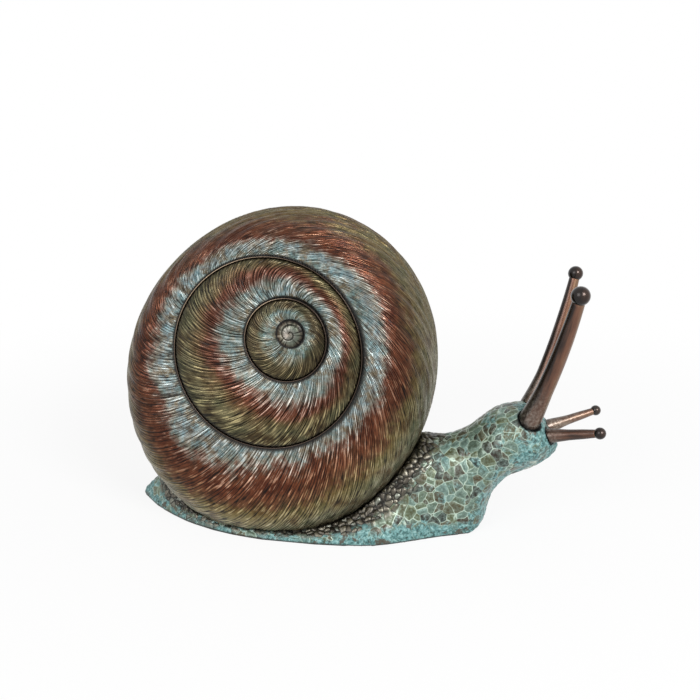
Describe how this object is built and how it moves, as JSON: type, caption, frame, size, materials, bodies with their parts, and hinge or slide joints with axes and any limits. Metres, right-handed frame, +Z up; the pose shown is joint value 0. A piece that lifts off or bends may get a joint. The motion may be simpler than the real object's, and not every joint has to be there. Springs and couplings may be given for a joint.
{
  "type": "snail figurine",
  "caption": "Free-standing cast metal garden snail: scaly foot, neck and head, domed whorled shell on top, and long and short ball-tipped stalks. Decorative ornament.",
  "frame": {"origin": "bottom centre of the overall box, on the surface that the sole's rim stands on", "axes": "+X towards the head along the snail's length, +Y towards the snail's left side, +Z up"},
  "size_m": [0.3356, 0.1286, 0.2215],
  "materials": {
    "verdigris_bronze": "cast bronze with turquoise verdigris in the grooves and worn dark scales",
    "shell_bronze": "cast bronze, brushed radial striations, copper red and olive patina with blue-grey verdigris",
    "stalk_bronze": "turned bronze rod, dark copper-brown lacquer, polished",
    "dark_bronze": "turned ball, dark bronze, polished",
    "screw_steel": "zinc plated"
  },
  "bodies": {
    "root": {"body_casting": "verdigris_bronze", "shell_right_half": "shell_bronze", "shell_left_half": "shell_bronze", "second_whorl_right": "shell_bronze", "second_whorl_left": "shell_bronze", "third_whorl_right": "shell_bronze", "third_whorl_left": "shell_bronze", "apex_button_right": "shell_bronze", "apex_button_left": "shell_bronze", "upper_tentacle_right": "stalk_bronze", "upper_tentacle_left": "stalk_bronze", "lower_tentacle_right": "stalk_bronze", "lower_tentacle_left": "stalk_bronze", "upper_eye_right": "dark_bronze", "upper_eye_left": "dark_bronze", "lower_tip_right": "dark_bronze", "lower_tip_left": "dark_bronze", "shell_screws": "screw_steel"}
  },
  "joints": []
}
